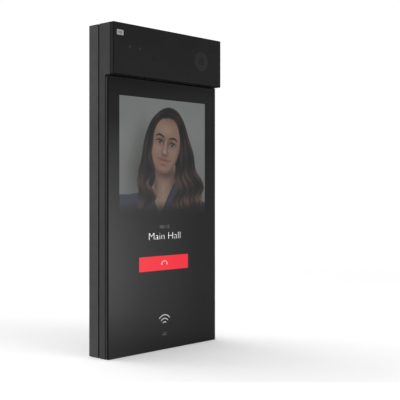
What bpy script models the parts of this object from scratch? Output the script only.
"""Wall-mounted video intercom station with a tall touch display under a camera head.

A cast wall box stays on the wall. The front unit hangs on it from two hooks at the top and tilts out at
the bottom for wiring. Frame: millimetres in the constants below, metres in Blender, +Z up, -Y towards the
visitor, origin under the middle of the object where it stands on its lower edge.
"""

import math

import bmesh
import bpy
from mathutils import Matrix, Vector

MM = 0.001
GAP = 0.3  # air between two separate pieces
CUT = 5.0  # how far a cutter runs out past the side it opens
BITE = 0.6  # how deep joined shapes sink into each other
SIDES = ((-1, "left"), (1, "right"))

# Sides of round pieces, from the smallest screws to the camera window
FACETS_PIN = 12
FACETS_SCREW = 20
FACETS = 24
FACETS_LENS = 32
FACETS_BARREL = 40
FACETS_WINDOW = 48

# ---------------------------------------------------------------- envelope
WIDTH = 168.0
HEIGHT = 356.0
DEPTH = 40.0
HALF = WIDTH / 2
BACK = DEPTH / 2
HEAD_FRONT = -DEPTH / 2
HEAD_REACH = 8.5  # how far the camera head stands in front of the glass
HEAD_BOTTOM = 300.8

# ---------------------------------------------------------------- planes across the depth, glass to wall
GLASS_Y = (HEAD_FRONT + HEAD_REACH, HEAD_FRONT + HEAD_REACH + 2.1)
BEZEL_Y = (GLASS_Y[1] + GAP, GLASS_Y[1] + 2.7)
TOUCH_Y = (BEZEL_Y[0], -8.2)
LCD_Y = (-7.9, -5.9)
BACKLIGHT_Y = (-5.6, -2.6)
CHASSIS_Y = (-2.3, -1.1)
BOARD_Y = (1.5, 3.1)
ON_BOARD = BOARD_Y[1] + GAP
FRAME_FRONT = BEZEL_Y[1] + GAP
HEAD_FRAME_FRONT = -14.4
PARTING = 3.0  # rear rim of the front frame
LIP_FRONT = PARTING + GAP
BOX_FRONT = 4.5
FLANGE_Y = (0.3, 2.2)
TRAY_BACK = 12.5
LEDGE_Y = (8.8, 10.3)  # ledge inside the wall box that carries the seal
CAVITY_BACK = 17.5

# ---------------------------------------------------------------- wall box
BOX_ROUNDING = 0.8
BOX_WALL = 3.2
LIP_INSET = 1.7
LIP_TOP = 345.0
LIP_ROOT = BOX_FRONT + 3.0
LEDGE_OPENING_X = 77.3
LEDGE_OPENING_Z = (10.9, 338.9)
TOP_RELIEF_Y = 6.0  # the box's top edge is cut down in front, where the front unit turns over it
TOP_RELIEF_Z = 353.6
TAMPER_POST = (4.0, 13.8)  # half width, front face
WALL_SLOTS = ((-62.0, 44.0), (62.0, 44.0), (-62.0, 306.0), (62.0, 306.0))
WALL_SLOT = (6.0, 2.7)  # half length, radius
CABLE_ENTRY = (0.0, 70.0)
CABLE_ENTRY_R = 16.0
GROMMET = ((15.6, 19.8), (15.6, 17.2), (19.0, 17.2), (19.0, 15.4), (6.5, 15.4), (6.5, 19.8))
EARTH_TERMINAL = (40.0, 26.0)
EARTH_STUD = ((0.0, 17.2), (5.0, 17.2), (5.0, 16.4), (3.2, 16.4), (3.2, 14.4), (0.0, 14.4))
WALL_SEAL_X = 77.0
WALL_SEAL_Z = (7.0, 349.0)
WALL_SEAL_HALF = 1.7
WALL_SEAL_DEPTH = 1.0
BOX_SEAL_OUTER = (80.5, (7.2, 341.9))
BOX_SEAL_INNER = (77.1, (10.6, 338.6))
BOX_SEAL_Y = (FLANGE_Y[1] + 0.4, LEDGE_Y[0] - GAP)

# ---------------------------------------------------------------- tilt hinge and locks
HINGE_X = 60.0
HINGE_Y = 5.5
HINGE_Z = 349.0
PIN_R = 1.25
PIN_LENGTH = 17.4
PIN_BORE_LENGTH = 22.0
LUG_OFFSET = 7.0
LUG_R = 2.7
LUG_WIDTH = 3.0
LUG_WEB_DROP = 2.6
LUG_ROOT_Y = 9.3
LUG_ROOT_Z = 353.4
HOOK_R = 3.0
HOOK_HALF_WIDTH = 4.5
HOOK_FOOT_Z = 342.3
HOOK_TURN = range(180, -31, -15)  # degrees round the pin, back to front over the top
LOCK_X = 45.0
LOCK_Y = -1.2
LOCK_SCREW_R = 2.3
LOCK_SINK_R = 3.9
LOCK_SINK_DEPTH = 2.2
LOCK_HOLE_TOP = 13.0
LOCK_SCREW = (
    (0.0, 10.4), (2.0, 10.4), (2.0, 1.9), (3.6, 1.9), (3.6, 0.3), (1.4, 0.3), (1.4, 1.2), (0.0, 1.2),
)
TONGUE_HALF = 7.0
TONGUE_Y = (-3.4, 9.4)
TONGUE_Z = (4.3, 6.5)
TONGUE_ROOT_Y = (4.5, 9.6)
TONGUE_ROOT_Z = (2.4, 6.3)
FORK_HALF = 8.0
FORK_Y = (-3.8, 3.0)
FORK_TOP = 6.9
CLAMP_BOSS_HALF = 6.0
CLAMP_BOSS_Y = (-5.3, 0.0)
CLAMP_BOSS_Z = (2.4, 11.0)

# ---------------------------------------------------------------- front frame and glass
WALL = 3.0
SIDE = HALF - WALL
FRAME_ROUNDING = 0.5
CROSSBAR_Z = (297.6, 303.3)
CROSSBAR_STEP = 1.0
CROSSBAR_BACK = 0.0
SOUND_SLOT = (3.0, 1.0)  # half length, radius
SOUND_SLOT_Y = -12.9
SOUND_SLOT_STEPS = range(-2, 3)
SOUND_SLOT_PITCH = 8.0
SOUND_INLET = (-30.0, -1.8)
SOUND_INLET_R = 0.8
GLASS_TOP = HEAD_BOTTOM - GAP
BEZEL_TOP = HEAD_BOTTOM - 1.6  # a shadow line shows under the head, beside the glass
GLASS_ROUNDING = 0.35
BEZEL_INSET = 0.6
SYMBOL_X = 12.9  # half width of the light guide behind the lit symbol
SYMBOL_Z = (26.1, 42.9)

# ---------------------------------------------------------------- display, a 10.1 inch panel upright
ACTIVE_HEIGHT = 216.58
ACTIVE_TOP = 281.0
MODULE_WIDTH = 149.2
MODULE_HEIGHT = 229.5
MODULE_X = MODULE_WIDTH / 2
MODULE_MIDDLE = ACTIVE_TOP - ACTIVE_HEIGHT / 2
MODULE_Z = (MODULE_MIDDLE - MODULE_HEIGHT / 2, MODULE_MIDDLE + MODULE_HEIGHT / 2)
CHASSIS_X = SIDE - 0.4
CHASSIS_Z = (12.0, 297.2)
ANTENNA_X = 34.0
ANTENNA_Y = (-5.4, -4.4)
ANTENNA_Z = (14.0, 52.0)
RIBBON_THICKNESS = 0.3
RIBBON_X = 20.0
RIBBON_ENDS = ((-3.8, 57.0), (1.0, 60.0))
RIBBON_BEND = (-1.4, 52.0)
RIBBON_BEND_R = 2.4
RIBBON_TURN = range(180, 361, 20)
RIBBON_SLOT_X = 21.0
RIBBON_SLOT_Z = (48.0, 56.0)

# ---------------------------------------------------------------- posts and screws that stack the front unit
BOARD_FIXINGS = ((-58.0, 50.0), (58.0, 50.0), (-58.0, 280.0), (58.0, 280.0))
STANDOFF = (3.0, (-1.8, 1.2))  # radius, reach in Y
LOCATING_PIN = (1.3, (-1.0, 3.0))
BOARD_PILLAR = (2.6, (3.4, 11.4))
BOARD_HOLE_R = 1.7
SHELL_SCREWS = ((-66.0, 24.0), (66.0, 24.0), (-66.0, 290.0), (66.0, 290.0))
SHELL_POST = (3.2, (-1.2, 10.4))
SHELL_BORE = (1.8, (3.0, 15.0))
SHELL_HOLE = (1.8, (9.0, 15.0))
SHELL_SCREW = ((0.0, 13.4), (1.3, 14.4), (3.0, 14.4), (3.0, 12.8), (1.5, 12.8), (1.5, 5.0), (0.0, 5.0))

# ---------------------------------------------------------------- rear shell
TRAY_FRONT = 0.6
TRAY_X = 76.0
TRAY_Z = (12.0, 338.0)
TRAY_ROUNDING = 1.2
TRAY_WALL = 2.0
TRAY_FLOOR = 1.8
FLANGE_Z = (3.3, 352.7)
TERMINAL_BAY_X = (-46.0, 48.0)
TERMINAL_BAY_Y = 8.0
TERMINAL_BAY_Z = (60.0, 116.0)
TONGUE_NOTCH_HALF = 8.0
TONGUE_NOTCH_Z = (2.0, 11.4)

# ---------------------------------------------------------------- pieces on the main board
BOARD_X = 64.0
BOARD_Z = (44.0, 286.0)
SHIELD = ((-24.0, 24.0), (ON_BOARD, 6.2), (205.0, 253.0))
TRANSFORMER = ((-20.0, 0.0), (ON_BOARD, 10.2), (132.0, 154.0))
RELAY = ((24.0, 44.0), (ON_BOARD, 10.3), (134.0, 150.0))
SOCKET = ((-40.0, -24.0), (ON_BOARD, 15.2), (96.0, 113.0))
SOCKET_MOUTH = ((-37.9, -26.1), (5.0, 13.6), (90.0, 109.0))
HEADER = ((0.0, 44.0), (ON_BOARD, 11.6), (104.0, 113.0))
PLUG = ((0.4, 43.6), (4.0, 11.8), (92.0, 103.7))
PLUG_WAYS = 8
PLUG_WAY_HALF = 1.6
PLUG_WAY_Y = (5.4, 8.6)
PLUG_WAY_Z = (90.0, 99.0)
MICROPHONE = ((-34.0, -26.0), (-4.2, 0.0), (3.3, 6.6))
CASE_ROUNDING = 0.4
COIL_ROUNDING = 0.8
CAP_ROUNDING = 0.5
CAMERA_RIBBON_X = (43.0, 54.0)
CAMERA_RIBBON = ((5.7, 309.0), (5.7, 300.0), (5.2, 297.0), (4.2, 294.0), (3.7, 291.0), (3.7, 276.0))

# ---------------------------------------------------------------- tamper switch and reset button
TAMPER = (-54.0, 66.0)
TAMPER_HALF = 3.5
TAMPER_Y = 8.6
TAMPER_HOLE_R = 2.3
TAMPER_BORE = (1.8, (5.0, 11.0))
PLUNGER_PROFILE = ((0.0, 13.5), (1.0, 13.5), (1.5, 12.9), (1.5, 5.5), (0.0, 5.5))
RESET = (53.0, 87.0)
RESET_HALF = 3.0
RESET_Y = 6.9
RESET_HOLE_R = 2.2
RESET_BORE = (1.8, (4.8, 9.2))
BUTTON_PROFILE = ((0.0, 9.6), (1.2, 9.6), (1.5, 9.2), (1.5, 5.6), (0.0, 5.6))

# ---------------------------------------------------------------- camera head
COVER_ROUNDING = 0.8
COVER_WALL = 2.4
COVER_POCKET_BACK = -12.0
WINDOW_THICKNESS = 2.1
CAMERA = (50.3, 328.2)
IR_LED = (-60.6, 331.7)
LIGHT_SENSOR = (-46.7, 331.2)
WINDOWS = (
    ("camera_window", CAMERA, 11.0, FACETS_WINDOW),
    ("ir_window", IR_LED, 2.6, FACETS),
    ("light_sensor_window", LIGHT_SENSOR, 2.0, FACETS),
    ("indicator_window", (-24.7, 322.8), 1.6, FACETS),
)
BADGE_X = (-79.1, -69.8)
BADGE_Z = (342.6, 348.1)
BADGE_THICKNESS = 0.2
BADGE_RECESS = 0.5
SENSOR_BOARD = ((-72.0, -16.0), (-13.5, -12.3), (317.0, 342.0))
DOME = ((0.0, -13.8), (2.5, -13.8), (2.5, -15.0), (2.1, -16.1), (1.2, -16.9), (0.0, -17.2))
DOME_BASE = -13.8
DOMES = (("ir_led", IR_LED, 1.0), ("light_sensor", LIGHT_SENSOR, 0.75))  # name, place, size

# ---------------------------------------------------------------- camera behind its window
LENS_BARREL = (
    (7.0, -4.0), (7.0, -12.6), (8.6, -12.6), (8.6, -16.6), (8.0, -17.2),
    (7.2, -17.2), (5.7, -15.6), (5.7, -10.0), (4.0, -10.0), (4.0, -4.0),
)
LENS_ELEMENT = ((0.0, -10.4), (5.3, -10.4), (5.3, -14.0), (4.2, -14.9), (2.4, -15.5), (0.0, -15.7))
HOLDER_HALF = (13.0, 12.0)
HOLDER_Y = (-9.2, -1.0)
HOLDER_ROUNDING = 0.6
BARREL_BORE = (7.3, (-12.3, -3.7))
LIGHT_BORE = (4.2, (-5.0, 1.0))
HOUSING_HALF = (15.5, 7.2)
HOUSING_Y = (-0.7, 3.3)
CARRIAGE_WAY_HALF = (12.8, 5.6)
CARRIAGE_WAY_Y = (0.5, 2.1)
APERTURE = (3.6, (-3.0, 5.0))
CARRIAGE_X = (-12.0, 4.5)  # from the optical axis
CARRIAGE_Y = (0.8, 1.8)
CARRIAGE_HALF = 5.3
FILTER_TRAVEL = 7.5
FILTER_WINDOW_HALF = 3.2
FILTER_GLASS_HALF = 2.9
FILTER_GLASS_Y = (1.0, 1.6)
IMAGE_SENSOR_HALF = (4.5, 3.6)
IMAGE_SENSOR_Y = (3.7, 4.8)
CAMERA_BOARD_HALF = 16.0
CAMERA_BOARD_Y = (5.1, 6.3)
CAMERA_BOARD_Z = (309.5, 335.4)

# ---------------------------------------------------------------- speaker in the head, firing down
SPEAKER = (-15.0, -8.0)
SPEAKER_FRAME = (25.0, 6.6, (303.6, 312.4))  # half length, end radius, reach in Z
CONE_SPACE = (22.5, 5.2, (301.5, 309.5))
SPEAKER_CONE = (22.0, 4.8, (305.6, 306.8))
CONE_ROUNDING = 0.4
MAGNET_HALF = (9.0, 4.2)
MAGNET_Z = (312.7, 316.6)

QUARTER = math.radians(90)
SMOOTH_ANGLE = math.radians(40)
FLAT_ANGLE = math.radians(1)
MERGE = 0.00001
AXIS_TURN = {
    "X": Matrix.Rotation(QUARTER, 4, "Y"),
    "Y": Matrix.Rotation(-QUARTER, 4, "X"),
    "Z": Matrix.Identity(4),
}
FLAT_TO_SIDE = Matrix(((0, 0, 1, 0), (1, 0, 0, 0), (0, 1, 0, 0), (0, 0, 0, 1)))  # X, Y, Z become Y, Z, X


# ---------------------------------------------------------------- scene helpers
def clear_scene():
    """Start from an empty scene."""
    for obj in list(bpy.data.objects):
        bpy.data.objects.remove(obj, do_unlink=True)


def collection(name, hidden=False):
    made = bpy.data.collections.new(name)
    bpy.context.scene.collection.children.link(made)
    made.hide_render = hidden
    return made


def material(name, colour, roughness, metallic=0.0):
    made = bpy.data.materials.new(name)
    made.use_nodes = True
    shader = made.node_tree.nodes["Principled BSDF"]
    shader.inputs["Base Color"].default_value = (*colour, 1.0)
    shader.inputs["Roughness"].default_value = roughness
    shader.inputs["Metallic"].default_value = metallic
    return made


def empty(name, place, parent=None):
    """An empty at a body's joint; the body's pieces hang on it."""
    made = bpy.data.objects.new(name, None)
    PARTS.objects.link(made)
    made["origin_mm"] = place
    made.location = (Vector(place) - Vector(parent["origin_mm"] if parent else (0, 0, 0))) * MM
    made.parent = parent
    return made


def finish(obj, place, body=None, surface=None):
    """Put a piece in the parts collection on its body, or in the cutters if it has no body."""
    if body is None:
        CUTTERS.objects.link(obj)
        obj.hide_render = True
        obj.display_type = "WIRE"
        obj.location = Vector(place) * MM
    else:
        PARTS.objects.link(obj)
        obj.parent = body
        obj.location = (Vector(place) - Vector(body["origin_mm"])) * MM
        obj.data.materials.append(surface)
    return obj


def mesh_object(name, bm):
    mesh = bpy.data.meshes.new(name)
    bm.to_mesh(mesh)
    bm.free()
    return bpy.data.objects.new(name, mesh)


def bevel(obj, width, segments=2):
    made = obj.modifiers.new("round_edges", "BEVEL")
    made.width = width * MM
    made.segments = segments
    made.limit_method = "ANGLE"
    return obj


def boolean(obj, others, operation="DIFFERENCE"):
    for other in others:
        made = obj.modifiers.new(operation.lower(), "BOOLEAN")
        made.operation = operation
        made.object = other
        made.solver = "EXACT"
    return obj


def join(obj, others):
    return boolean(obj, others, "UNION")


# ---------------------------------------------------------------- shapes
def around(middle, half):
    return (middle - half, middle + half)


def both(half):
    return (-half, half)


def middle_of(span):
    return (span[0] + span[1]) / 2


def length_of(span):
    return span[1] - span[0]


def on_axis(axis, across, along):
    """A point from its two places across an axis and the one along it."""
    point = list(across)
    point.insert("XYZ".index(axis), along)
    return tuple(point)


def block(name, x, y, z, body=None, surface=None, rounding=0.0):
    """A box between two limits on each axis."""
    limits = (x, y, z)
    sides = [length_of(span) * MM for span in limits]
    bm = bmesh.new()
    bmesh.ops.create_cube(bm, size=1.0, matrix=Matrix.Diagonal((*sides, 1.0)))
    obj = finish(mesh_object(name, bm), [middle_of(span) for span in limits], body, surface)
    if rounding:
        bevel(obj, rounding)
    return obj


def cylinder(axis, radius, length, facets):
    bm = bmesh.new()
    bmesh.ops.create_cone(
        bm,
        cap_ends=True,
        segments=facets,
        radius1=radius * MM,
        radius2=radius * MM,
        depth=length * MM,
        matrix=AXIS_TURN[axis],
    )
    return bm


def rod(name, axis, across, span, radius, body=None, surface=None, facets=FACETS):
    """A round bar between two limits along its axis."""
    bm = cylinder(axis, radius, length_of(span), facets)
    bmesh.ops.recalc_face_normals(bm, faces=bm.faces)
    obj = finish(mesh_object(name, bm), on_axis(axis, across, middle_of(span)), body, surface)
    obj.data.shade_smooth()
    obj.data.set_sharp_from_angle(angle=SMOOTH_ANGLE)
    return obj


def racetrack(name, axis, across, span, long_half, radius, body=None, surface=None, facets=FACETS):
    """A plate with two straight sides and round ends; its long side lies along X."""
    bm = cylinder(axis, radius, length_of(span), facets)
    half_facet = Matrix.Rotation(math.pi / facets, 3, axis)
    bmesh.ops.rotate(bm, cent=(0, 0, 0), matrix=half_facet, verts=bm.verts)
    for vert in bm.verts:
        vert.co.x += math.copysign((long_half - radius) * MM, vert.co.x)
    bmesh.ops.recalc_face_normals(bm, faces=bm.faces)
    return finish(mesh_object(name, bm), on_axis(axis, across, middle_of(span)), body, surface)


def turned(name, axis, across, profile, body, surface, steps=FACETS_LENS, closed=False):
    """A lathe shape: profile is (radius, place along the axis) from the top of its outer side down."""
    mesh = bpy.data.meshes.new(name)
    points = [(radius * MM, 0.0, along * MM) for radius, along in profile]
    edges = [(i, i + 1) for i in range(len(points) - 1)]
    if closed:
        edges.append((len(points) - 1, 0))
    mesh.from_pydata(points, edges, [])
    obj = finish(bpy.data.objects.new(name, mesh), on_axis(axis, across, 0.0), body, surface)
    obj.rotation_euler = AXIS_TURN[axis].to_euler()
    screw = obj.modifiers.new("turn", "SCREW")
    screw.axis = "Z"
    screw.steps = steps
    screw.render_steps = steps
    screw.use_merge_vertices = True
    screw.merge_threshold = MERGE
    screw.use_smooth_shade = True
    return obj


def rectangle(x, z):
    return [(x[0], z[0]), (x[1], z[0]), (x[1], z[1]), (x[0], z[1])]


def circle(centre, radius, facets):
    turns = [2 * math.pi * i / facets for i in range(facets)]
    return [(centre[0] + radius * math.cos(t), centre[1] + radius * math.sin(t)) for t in turns]


def arc(centre, radius, degrees):
    turns = [math.radians(angle) for angle in degrees]
    return [(centre[0] + radius * math.cos(t), centre[1] + radius * math.sin(t)) for t in turns]


def flat_curve(name, outlines, thickness):
    """A filled 2D curve; the outlines inside the first one are its holes."""
    curve = bpy.data.curves.new(name, "CURVE")
    curve.dimensions = "2D"
    curve.fill_mode = "BOTH"
    curve.extrude = thickness / 2 * MM
    for outline in outlines:
        spline = curve.splines.new("POLY")
        spline.points.add(len(outline) - 1)
        for point, (u, v) in zip(spline.points, outline):
            point.co = (u * MM, v * MM, 0.0, 1.0)
        spline.use_cyclic_u = True
    return bpy.data.objects.new(name, curve)


def plate(name, outlines, y, body, surface):
    """A flat plate that faces the visitor: outlines in X and Z, thickness between two depths."""
    obj = flat_curve(name, outlines, length_of(y))
    finish(obj, (0.0, middle_of(y), 0.0), body, surface)
    obj.rotation_euler = (QUARTER, 0.0, 0.0)
    return obj


def side_profile(name, outline, x, body=None, surface=None):
    """A piece of constant section across the width: its outline in Y and Z, as a mesh."""
    flat = flat_curve(name + "_outline", [outline], length_of(x))
    bpy.context.scene.collection.objects.link(flat)
    bpy.context.view_layer.update()
    mesh = bpy.data.meshes.new_from_object(flat.evaluated_get(bpy.context.evaluated_depsgraph_get()))
    bpy.data.objects.remove(flat)
    bm = bmesh.new()
    bm.from_mesh(mesh)
    bpy.data.meshes.remove(mesh)
    bmesh.ops.remove_doubles(bm, verts=bm.verts, dist=MERGE)
    bmesh.ops.dissolve_limit(bm, angle_limit=FLAT_ANGLE, verts=bm.verts, edges=bm.edges)
    bmesh.ops.transform(bm, matrix=FLAT_TO_SIDE, verts=bm.verts)
    bmesh.ops.recalc_face_normals(bm, faces=bm.faces)
    return finish(mesh_object(name, bm), (middle_of(x), 0.0, 0.0), body, surface)


def strip(name, path, x, body):
    """A flat flexible cable of constant width along a path in Y and Z."""
    bm = bmesh.new()
    edges = [[bm.verts.new((side * MM, y * MM, z * MM)) for side in x] for y, z in path]
    for one, two in zip(edges, edges[1:]):
        bm.faces.new((one[0], one[1], two[1], two[0]))
    obj = finish(mesh_object(name, bm), (0.0, 0.0, 0.0), body, RIBBON)
    solid = obj.modifiers.new("thickness", "SOLIDIFY")
    solid.thickness = RIBBON_THICKNESS * MM
    solid.offset = 0.0
    return obj


def rods_at(name, places, radius, y, facets=FACETS):
    """The same cutting or joining rod at several places of the front."""
    return [rod(name, "Y", place, y, radius, facets=facets) for place in places]


# ---------------------------------------------------------------- wall box
def build_wall_box():
    inside_x = both(HALF - BOX_WALL)
    inside_z = (BOX_WALL, HEIGHT - BOX_WALL)
    lip_x = both(HALF - LIP_INSET)
    opening_y = (LEDGE_Y[0] - BITE, LEDGE_Y[1] + BITE)
    relief_z = (TOP_RELIEF_Z, HEIGHT + CUT)
    box = block("rear_box", both(HALF), (BOX_FRONT, BACK), (0.0, HEIGHT), ROOT, ANODISED, BOX_ROUNDING)
    join(box, [block("lip", lip_x, (LIP_FRONT, LIP_ROOT), (LIP_INSET, LIP_TOP))])
    pockets = [
        block("front_pocket", inside_x, (LIP_FRONT - CUT, LEDGE_Y[0]), inside_z),
        block("ledge_opening", both(LEDGE_OPENING_X), opening_y, LEDGE_OPENING_Z),
        block("rear_pocket", inside_x, (LEDGE_Y[1], CAVITY_BACK), inside_z),
        block("top_relief", both(HALF + CUT), (BOX_FRONT - CUT, TOP_RELIEF_Y), relief_z),
    ]
    boolean(box, pockets)
    join(box, hinge_lugs() + lock_tongues() + [tamper_post()])
    entry = rod("entry_hole", "Y", CABLE_ENTRY, around(BACK, CUT), CABLE_ENTRY_R, facets=FACETS_BARREL)
    boolean(box, hinge_bores() + lock_slots() + wall_slots() + seal_groove() + [entry])


def hinge_lugs():
    """Two ears for each hinge pin, rooted in the top wall and the ledge."""
    lugs = []
    web_z = (HINGE_Z - LUG_WEB_DROP, LUG_ROOT_Z)
    for side, _ in SIDES:
        for offset in both(LUG_OFFSET):
            x = around(side * HINGE_X + offset, LUG_WIDTH / 2)
            lugs.append(rod("lug", "X", (HINGE_Y, HINGE_Z), x, LUG_R))
            lugs.append(block("lug_web", x, (HINGE_Y, LUG_ROOT_Y), web_z))
    return lugs


def hinge_bores():
    reach = PIN_BORE_LENGTH / 2
    return [
        rod("pin_bore", "X", (HINGE_Y, HINGE_Z), around(side * HINGE_X, reach), PIN_R + GAP)
        for side, _ in SIDES
    ]


def lock_tongues():
    """Forked tongues that reach into the front frame's bottom, where the captive screws clamp them."""
    tongues = []
    for side, _ in SIDES:
        x = around(side * LOCK_X, TONGUE_HALF)
        tongues.append(block("tongue", x, TONGUE_Y, TONGUE_Z))
        tongues.append(block("tongue_root", x, TONGUE_ROOT_Y, TONGUE_ROOT_Z))
    return tongues


def lock_slots():
    y = (TONGUE_Y[0] - BITE, LOCK_Y + LOCK_SCREW_R)
    z = (TONGUE_Z[0] - GAP, TONGUE_Z[1] + GAP)
    return [block("lock_slot", around(side * LOCK_X, LOCK_SCREW_R), y, z) for side, _ in SIDES]


def tamper_post():
    half, front = TAMPER_POST
    x, z = TAMPER
    return block("tamper_post", around(x, half), (front, CAVITY_BACK + BITE), around(z, half))


def wall_slots():
    """Upright slots for the four wall screws."""
    slots = []
    for place in WALL_SLOTS:
        slot = racetrack("wall_slot", "Y", place, around(BACK, CUT), *WALL_SLOT)
        slot.rotation_euler = (0.0, QUARTER, 0.0)
        slots.append(slot)
    return slots


def seal_groove():
    """Four bars that cut the groove for the seal on the wall face."""
    half = WALL_SEAL_HALF + GAP
    y = (BACK - WALL_SEAL_DEPTH - GAP, BACK + CUT)
    x_ends = both(WALL_SEAL_X + half)
    z_ends = (WALL_SEAL_Z[0] - half, WALL_SEAL_Z[1] + half)
    upright = [block("groove_side", around(side * WALL_SEAL_X, half), y, z_ends) for side, _ in SIDES]
    level = [block("groove_end", x_ends, y, around(z, half)) for z in WALL_SEAL_Z]
    return upright + level


def build_wall_box_fittings():
    seal_rings = [
        rectangle(both(WALL_SEAL_X + grow), (WALL_SEAL_Z[0] - grow, WALL_SEAL_Z[1] + grow))
        for grow in (WALL_SEAL_HALF, -WALL_SEAL_HALF)
    ]
    plate("wall_seal", seal_rings, (BACK - WALL_SEAL_DEPTH, BACK), ROOT, RUBBER)
    box_rings = [rectangle(both(half), z) for half, z in (BOX_SEAL_OUTER, BOX_SEAL_INNER)]
    plate("box_seal", box_rings, BOX_SEAL_Y, ROOT, RUBBER)
    turned("cable_grommet", "Y", CABLE_ENTRY, GROMMET, ROOT, RUBBER, closed=True)
    turned("earth_terminal", "Y", EARTH_TERMINAL, EARTH_STUD, ROOT, BRASS)
    for side, name in SIDES:
        pin_x = around(side * HINGE_X, PIN_LENGTH / 2)
        rod(f"hinge_pin_{name}", "X", (HINGE_Y, HINGE_Z), pin_x, PIN_R, ROOT, STEEL)


# ---------------------------------------------------------------- front frame and glass
def build_front_frame():
    outline = [
        (FRAME_FRONT, 0.0),
        (PARTING, 0.0),
        (PARTING, HEIGHT),
        (HEAD_FRAME_FRONT, HEIGHT),
        (HEAD_FRAME_FRONT, HEAD_BOTTOM),
        (FRAME_FRONT, HEAD_BOTTOM),
    ]
    rear = PARTING + CUT
    step_z = (CROSSBAR_Z[0] - CROSSBAR_STEP, CROSSBAR_Z[1] + CROSSBAR_STEP)
    frame = bevel(side_profile("front_frame", outline, both(HALF), FRONT, ANODISED), FRAME_ROUNDING)
    openings = [
        block("display_pocket", both(SIDE), (FRAME_FRONT - CUT, rear), (WALL, CROSSBAR_Z[0])),
        block("head_pocket", both(SIDE), (HEAD_FRAME_FRONT - CUT, rear), (CROSSBAR_Z[1], HEIGHT - WALL)),
        block("crossbar_back", both(SIDE), (CROSSBAR_BACK, rear), step_z),
    ]
    boolean(frame, openings)
    lock_x = [side * LOCK_X for side, _ in SIDES]
    for x in lock_x:
        join(frame, [block("clamp_boss", around(x, CLAMP_BOSS_HALF), CLAMP_BOSS_Y, CLAMP_BOSS_Z)])
    boolean(frame, [block("fork", around(x, FORK_HALF), FORK_Y, (WALL, FORK_TOP)) for x in lock_x])
    inlet = rod("sound_inlet", "Z", SOUND_INLET, (-BITE, WALL + BITE), SOUND_INLET_R, facets=FACETS_PIN)
    boolean(frame, lock_holes() + sound_slots() + [inlet])


def lock_holes():
    holes = []
    for side, _ in SIDES:
        place = (side * LOCK_X, LOCK_Y)
        holes.append(rod("screw_hole", "Z", place, (-BITE, LOCK_HOLE_TOP), LOCK_SCREW_R))
        holes.append(rod("screw_sink", "Z", place, (-BITE, LOCK_SINK_DEPTH), LOCK_SINK_R))
    return holes


def sound_slots():
    """A row of slots through the floor of the head, just in front of the glass."""
    span = (HEAD_BOTTOM - BITE, CROSSBAR_Z[1] + BITE)
    places = [(SPEAKER[0] + SOUND_SLOT_PITCH * step, SOUND_SLOT_Y) for step in SOUND_SLOT_STEPS]
    return [racetrack("sound_slot", "Z", place, span, *SOUND_SLOT, facets=FACETS_PIN) for place in places]


def build_front_glass():
    glass_z = (GAP, GLASS_TOP)
    block("front_glass", both(HALF - GAP), GLASS_Y, glass_z, FRONT, BLACK_GLASS, GLASS_ROUNDING)
    outlines = [
        rectangle(both(HALF - BEZEL_INSET), (BEZEL_INSET, BEZEL_TOP)),
        rectangle(both(MODULE_X + BEZEL_INSET), (MODULE_Z[0] - BEZEL_INSET, MODULE_Z[1] + BEZEL_INSET)),
        rectangle(both(SYMBOL_X + GAP), (SYMBOL_Z[0] - GAP, SYMBOL_Z[1] + GAP)),
    ]
    plate("display_bezel", outlines, BEZEL_Y, FRONT, BLACK_PLASTIC)
    block("icon_light_guide", both(SYMBOL_X), BEZEL_Y, SYMBOL_Z, FRONT, ACRYLIC)


# ---------------------------------------------------------------- display stack
def build_display():
    module_x = both(MODULE_X)
    block("touch_sensor", both(MODULE_X + GAP), TOUCH_Y, MODULE_Z, FRONT, ACRYLIC)
    block("lcd_panel", module_x, LCD_Y, MODULE_Z, FRONT, LCD)
    block("backlight_unit", module_x, BACKLIGHT_Y, MODULE_Z, FRONT, STEEL)
    chassis = block("display_chassis", both(CHASSIS_X), CHASSIS_Y, CHASSIS_Z, FRONT, STEEL)
    slot_y = (CHASSIS_Y[0] - BITE, CHASSIS_Y[1] + BITE)
    boolean(chassis, [block("ribbon_slot", both(RIBBON_SLOT_X), slot_y, RIBBON_SLOT_Z)])
    join(chassis, rods_at("standoff", BOARD_FIXINGS, *STANDOFF))
    join(chassis, rods_at("locating_pin", BOARD_FIXINGS, *LOCATING_PIN, facets=FACETS_PIN))
    join(chassis, rods_at("shell_post", SHELL_SCREWS, *SHELL_POST))
    boolean(chassis, rods_at("post_bore", SHELL_SCREWS, *SHELL_BORE, facets=FACETS_SCREW))
    block("rfid_antenna", both(ANTENNA_X), ANTENNA_Y, ANTENNA_Z, FRONT, CIRCUIT)
    front_end, board_end = RIBBON_ENDS
    path = [front_end] + arc(RIBBON_BEND, RIBBON_BEND_R, RIBBON_TURN) + [board_end]
    strip("display_ribbon", path, both(RIBBON_X), FRONT)


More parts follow.
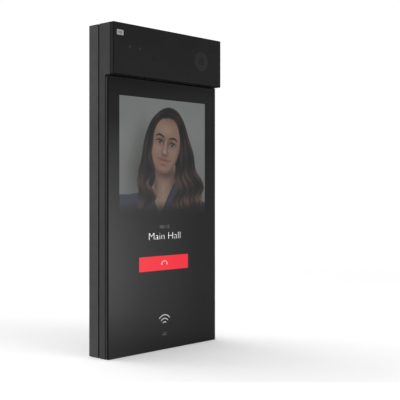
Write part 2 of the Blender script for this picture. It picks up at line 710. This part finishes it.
# ---------------------------------------------------------------- rear shell and electronics
def build_rear_shell():
    pocket_x = both(TRAY_X - TRAY_WALL)
    pocket_y = (TRAY_FRONT - CUT, TRAY_BACK - TRAY_FLOOR)
    pocket_z = (TRAY_Z[0] + TRAY_WALL, TRAY_Z[1] - TRAY_WALL)
    through = (TRAY_BACK - TRAY_FLOOR - BITE, TRAY_BACK + BITE)
    notch_y = (FLANGE_Y[0] - BITE, FLANGE_Y[1] + TRAY_FLOOR)
    shell = block(
        "rear_shell", both(TRAY_X), (TRAY_FRONT, TRAY_BACK), TRAY_Z, FRONT, BLACK_PLASTIC, TRAY_ROUNDING
    )
    join(shell, [block("flange", both(SIDE - GAP), FLANGE_Y, FLANGE_Z)])
    boolean(shell, [block("tray_pocket", pocket_x, pocket_y, pocket_z)])
    join(shell, rods_at("board_pillar", BOARD_FIXINGS, *BOARD_PILLAR))
    openings = [block("terminal_bay", TERMINAL_BAY_X, (TERMINAL_BAY_Y, TRAY_BACK + BITE), TERMINAL_BAY_Z)]
    for side, _ in SIDES:
        x = around(side * LOCK_X, TONGUE_NOTCH_HALF)
        openings.append(block("tongue_notch", x, notch_y, TONGUE_NOTCH_Z))
    openings += rods_at("shell_hole", SHELL_SCREWS, *SHELL_HOLE, facets=FACETS_SCREW)
    openings.append(rod("plunger_hole", "Y", TAMPER, through, TAMPER_HOLE_R))
    openings.append(rod("reset_hole", "Y", RESET, through, RESET_HOLE_R))
    boolean(shell, openings)
    for i, place in enumerate(SHELL_SCREWS, start=1):
        turned(f"shell_screw_{i}", "Y", place, SHELL_SCREW, FRONT, STEEL, FACETS_SCREW)


def build_electronics():
    holes = [circle(place, BOARD_HOLE_R, FACETS_PIN) for place in BOARD_FIXINGS]
    plate("main_pcb", [rectangle(both(BOARD_X), BOARD_Z)] + holes, BOARD_Y, FRONT, CIRCUIT)
    block("processor_shield", *SHIELD, FRONT, STEEL, CASE_ROUNDING)
    block("poe_transformer", *TRANSFORMER, FRONT, COPPER, COIL_ROUNDING)
    block("lock_relay", *RELAY, FRONT, BLACK_PLASTIC, CASE_ROUNDING)
    socket = block("network_socket", *SOCKET, FRONT, STEEL)
    boolean(socket, [block("socket_mouth", *SOCKET_MOUTH)])
    block("terminal_header", *HEADER, FRONT, GREEN_PLASTIC, CASE_ROUNDING)
    plug = block("terminal_plug", *PLUG, FRONT, GREEN_PLASTIC, CASE_ROUNDING)
    pitch = length_of(PLUG[0]) / PLUG_WAYS
    ways = [PLUG[0][0] + pitch * (i + 0.5) for i in range(PLUG_WAYS)]
    boolean(plug, [block("wire_way", around(x, PLUG_WAY_HALF), PLUG_WAY_Y, PLUG_WAY_Z) for x in ways])
    block("microphone", *MICROPHONE, FRONT, RUBBER, CAP_ROUNDING)
    strip("camera_ribbon", CAMERA_RIBBON, CAMERA_RIBBON_X, FRONT)


def build_switches():
    """The tamper switch with its plunger, and the reset button."""
    switches = (
        ("tamper_switch", TAMPER, TAMPER_HALF, TAMPER_Y, TAMPER_BORE),
        ("reset_switch", RESET, RESET_HALF, RESET_Y, RESET_BORE),
    )
    for name, (x, z), half, rear, (bore_r, bore_y) in switches:
        body = block(name, around(x, half), (ON_BOARD, rear), around(z, half), FRONT, BLACK_PLASTIC)
        boolean(body, [rod(f"{name}_bore", "Y", (x, z), bore_y, bore_r)])
    turned("tamper_plunger", "Y", TAMPER, PLUNGER_PROFILE, PLUNGER, RED_PLASTIC, FACETS_SCREW)
    turned("reset_button", "Y", RESET, BUTTON_PROFILE, BUTTON, RED_PLASTIC, FACETS_SCREW)


# ---------------------------------------------------------------- camera head
def build_head():
    cover_y = (HEAD_FRONT, HEAD_FRAME_FRONT - GAP)
    cover_z = (HEAD_BOTTOM, HEIGHT)
    cover = block("head_cover", both(HALF), cover_y, cover_z, FRONT, TINTED, COVER_ROUNDING)
    pocket_y = (HEAD_FRONT + COVER_WALL, COVER_POCKET_BACK)
    pocket_z = (HEAD_BOTTOM + COVER_WALL, HEIGHT - COVER_WALL)
    recess_x = (BADGE_X[0] - GAP, BADGE_X[1] + GAP)
    recess_y = (HEAD_FRONT - CUT, HEAD_FRONT + BADGE_RECESS)
    recess_z = (BADGE_Z[0] - GAP, BADGE_Z[1] + GAP)
    openings = [
        block("cover_pocket", both(HALF - COVER_WALL), pocket_y, pocket_z),
        block("badge_recess", recess_x, recess_y, recess_z),
    ]
    window_y = (HEAD_FRONT, HEAD_FRONT + WINDOW_THICKNESS)
    hole_y = around(HEAD_FRONT, CUT)
    for name, place, radius, facets in WINDOWS:
        openings.append(rod(f"{name}_hole", "Y", place, hole_y, radius + GAP, facets=facets))
        rod(name, "Y", place, window_y, radius, FRONT, TINTED, facets)
    boolean(cover, openings)
    block("head_badge", BADGE_X, (HEAD_FRONT, HEAD_FRONT + BADGE_THICKNESS), BADGE_Z, FRONT, LIGHT_METAL)
    block("sensor_board", *SENSOR_BOARD, FRONT, CIRCUIT)
    for name, place, size in DOMES:
        profile = [(radius * size, DOME_BASE + (y - DOME_BASE) * size) for radius, y in DOME]
        turned(name, "Y", place, profile, FRONT, ACRYLIC, FACETS_SCREW)


def build_camera():
    x, z = CAMERA
    turned("lens_barrel", "Y", CAMERA, LENS_BARREL, FRONT, BLACK_PLASTIC, FACETS_BARREL, closed=True)
    turned("lens_element", "Y", CAMERA, LENS_ELEMENT, FRONT, ACRYLIC)
    holder_x, holder_z = around(x, HOLDER_HALF[0]), around(z, HOLDER_HALF[1])
    holder = block("lens_holder", holder_x, HOLDER_Y, holder_z, FRONT, BLACK_PLASTIC, HOLDER_ROUNDING)
    boolean(holder, rods_at("barrel_bore", [CAMERA], *BARREL_BORE, facets=FACETS_BARREL))
    boolean(holder, rods_at("light_bore", [CAMERA], *LIGHT_BORE))
    build_filter(x, z)
    sensor_x, sensor_z = around(x, IMAGE_SENSOR_HALF[0]), around(z, IMAGE_SENSOR_HALF[1])
    block("image_sensor", sensor_x, IMAGE_SENSOR_Y, sensor_z, FRONT, CIRCUIT)
    block("camera_pcb", around(x, CAMERA_BOARD_HALF), CAMERA_BOARD_Y, CAMERA_BOARD_Z, FRONT, CIRCUIT)


def build_filter(x, z):
    """The day and night filter: a carriage with one glazed and one open window, in its housing."""
    housing_x, housing_z = around(x, HOUSING_HALF[0]), around(z, HOUSING_HALF[1])
    way_x, way_z = around(x, CARRIAGE_WAY_HALF[0]), around(z, CARRIAGE_WAY_HALF[1])
    housing = block("ir_filter_housing", housing_x, HOUSING_Y, housing_z, FRONT, BLACK_PLASTIC)
    boolean(housing, [block("carriage_way", way_x, CARRIAGE_WAY_Y, way_z)])
    boolean(housing, rods_at("aperture", [CAMERA], *APERTURE))
    carriage_x = (x + CARRIAGE_X[0], x + CARRIAGE_X[1])
    carriage_z = around(z, CARRIAGE_HALF)
    carriage = block("ir_filter_carriage", carriage_x, CARRIAGE_Y, carriage_z, FILTER, STEEL)
    through = (CARRIAGE_Y[0] - BITE, CARRIAGE_Y[1] + BITE)
    window_z = around(z, FILTER_WINDOW_HALF)
    for middle in (x, x - FILTER_TRAVEL):
        boolean(carriage, [block("filter_window", around(middle, FILTER_WINDOW_HALF), through, window_z)])
    glass_x, glass_z = around(x, FILTER_GLASS_HALF), around(z, FILTER_GLASS_HALF)
    block("ir_filter_glass", glass_x, FILTER_GLASS_Y, glass_z, FILTER, ACRYLIC)


def oval(name, size, body=None, surface=None):
    """One racetrack part of the speaker."""
    long_half, radius, z = size
    return racetrack(name, "Z", SPEAKER, z, long_half, radius, body, surface, FACETS_LENS)


def build_speaker():
    """A slim racetrack speaker that fires down through the slots in the head's floor."""
    frame = oval("speaker_frame", SPEAKER_FRAME, FRONT, BLACK_PLASTIC)
    boolean(frame, [oval("cone_space", CONE_SPACE)])
    bevel(oval("speaker_cone", SPEAKER_CONE, CONE, RUBBER), CONE_ROUNDING)
    magnet_x, magnet_y = around(SPEAKER[0], MAGNET_HALF[0]), around(SPEAKER[1], MAGNET_HALF[1])
    block("speaker_magnet", magnet_x, magnet_y, MAGNET_Z, FRONT, STEEL, CASE_ROUNDING)


# ---------------------------------------------------------------- hanging and locking
def build_hooks():
    """Hooks on the front unit's flange that hang over the hinge pins."""
    inner = PIN_R + GAP
    pin = (HINGE_Y, HINGE_Z)
    outline = [(HINGE_Y - HOOK_R, HOOK_FOOT_Z)]
    outline += arc(pin, HOOK_R, HOOK_TURN)
    outline += arc(pin, inner, reversed(HOOK_TURN))
    outline += [(HINGE_Y - inner, HOOK_FOOT_Z)]
    for side, name in SIDES:
        side_profile(f"hang_hook_{name}", outline, around(side * HINGE_X, HOOK_HALF_WIDTH), FRONT, STEEL)


def build_lock_screws():
    for side, name in SIDES:
        turned(f"lock_screw_{name}", "Z", (side * LOCK_X, LOCK_Y), LOCK_SCREW, FRONT, STEEL, FACETS)


# ---------------------------------------------------------------- build
clear_scene()
PARTS = collection("video_intercom_station")
CUTTERS = collection("cutters", hidden=True)

ANODISED = material("anodised_aluminium", (0.07, 0.07, 0.072), roughness=0.45, metallic=0.85)
BLACK_GLASS = material("black_glass", (0.01, 0.01, 0.011), roughness=0.08)
TINTED = material("tinted_polycarbonate", (0.015, 0.015, 0.016), roughness=0.25)
BLACK_PLASTIC = material("black_plastic", (0.03, 0.03, 0.031), roughness=0.5)
ACRYLIC = material("clear_acrylic", (0.7, 0.72, 0.74), roughness=0.1)
LCD = material("display_panel", (0.05, 0.055, 0.06), roughness=0.3)
RUBBER = material("rubber", (0.015, 0.015, 0.015), roughness=0.8)
STEEL = material("steel", (0.55, 0.55, 0.56), roughness=0.35, metallic=1.0)
BRASS = material("brass", (0.72, 0.55, 0.25), roughness=0.3, metallic=1.0)
COPPER = material("wound_copper", (0.5, 0.25, 0.12), roughness=0.4, metallic=0.6)
CIRCUIT = material("circuit_board", (0.02, 0.14, 0.07), roughness=0.45)
RIBBON = material("ribbon_cable", (0.55, 0.34, 0.12), roughness=0.4)
GREEN_PLASTIC = material("green_plastic", (0.05, 0.32, 0.12), roughness=0.45)
RED_PLASTIC = material("red_plastic", (0.55, 0.03, 0.03), roughness=0.4)
LIGHT_METAL = material("badge_metal", (0.6, 0.6, 0.6), roughness=0.4, metallic=0.5)

ROOT = empty("wall_box", (0.0, 0.0, 0.0))
FRONT = empty("front_unit", (0.0, HINGE_Y, HINGE_Z), ROOT)
PLUNGER = empty("plunger_slide", on_axis("Y", TAMPER, TAMPER_Y), FRONT)
BUTTON = empty("button_slide", on_axis("Y", RESET, RESET_Y), FRONT)
FILTER = empty("filter_slide", on_axis("Y", CAMERA, middle_of(CARRIAGE_Y)), FRONT)
CONE = empty("cone_slide", on_axis("Z", SPEAKER, middle_of(SPEAKER_CONE[2])), FRONT)

build_wall_box()
build_wall_box_fittings()
build_front_frame()
build_front_glass()
build_display()
build_rear_shell()
build_electronics()
build_switches()
build_head()
build_camera()
build_speaker()
build_hooks()
build_lock_screws()
